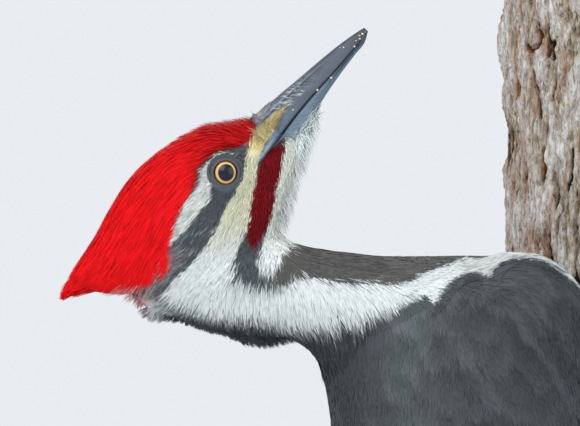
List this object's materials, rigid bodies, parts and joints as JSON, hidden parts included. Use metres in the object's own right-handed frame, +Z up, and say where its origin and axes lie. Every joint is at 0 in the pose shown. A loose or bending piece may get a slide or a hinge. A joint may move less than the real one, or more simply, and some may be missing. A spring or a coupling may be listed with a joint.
{
  "type": "woodpecker model",
  "caption": "Life-size pileated woodpecker leaning back from an upright cut log, bill raised, on a round display stand.",
  "frame": {"origin": "on the log's axis, at the underside of the stand's base", "axes": "+Z up along the log; the bird clings to the log's -X, -Y side, with its head in a plane parallel to XZ and its crest towards -X"},
  "size_m": [0.3756, 0.2816, 0.512],
  "materials": {
    "face_feathers": "short soft white, slate and crimson face feathers",
    "crest_feathers": "silky bright red crest feathers",
    "bill_horn": "worn slate blue-grey horn",
    "eye": "wet amber iris with a dark pupil",
    "neck_feathers": "shaggy white neck feathers over slate black",
    "body_feathers": "soft slate-black body feathers",
    "flight_feathers": "smooth black flight feathers with a faint sheen",
    "leg_scales": "fine scaled grey skin",
    "claw_horn": "smooth dark horn",
    "bark": "dry grey bark with fibrous orange-brown furrows",
    "stand_wood": "dark satin turned wood",
    "stand_steel": "brushed steel rod"
  },
  "bodies": {
    "root": {"head": "face_feathers", "crest": "crest_feathers", "bill_upper": "bill_horn", "bill_lower": "bill_horn", "eye_right": "eye", "eye_left": "eye", "neck": "neck_feathers", "trunk": "body_feathers", "wing_right": "flight_feathers", "wing_left": "flight_feathers", "tail": "flight_feathers", "leg_right": "leg_scales", "leg_left": "leg_scales", "foot_right": "leg_scales", "foot_left": "leg_scales", "claw_right_inner": "claw_horn", "claw_right_middle": "claw_horn", "claw_right_outer": "claw_horn", "claw_right_hind": "claw_horn", "claw_left_inner": "claw_horn", "claw_left_middle": "claw_horn", "claw_left_outer": "claw_horn", "claw_left_hind": "claw_horn", "perch_log": "bark", "stand_base": "stand_wood", "stand_rod_bird_side": "stand_steel", "stand_rod_far_side": "stand_steel"}
  },
  "joints": []
}
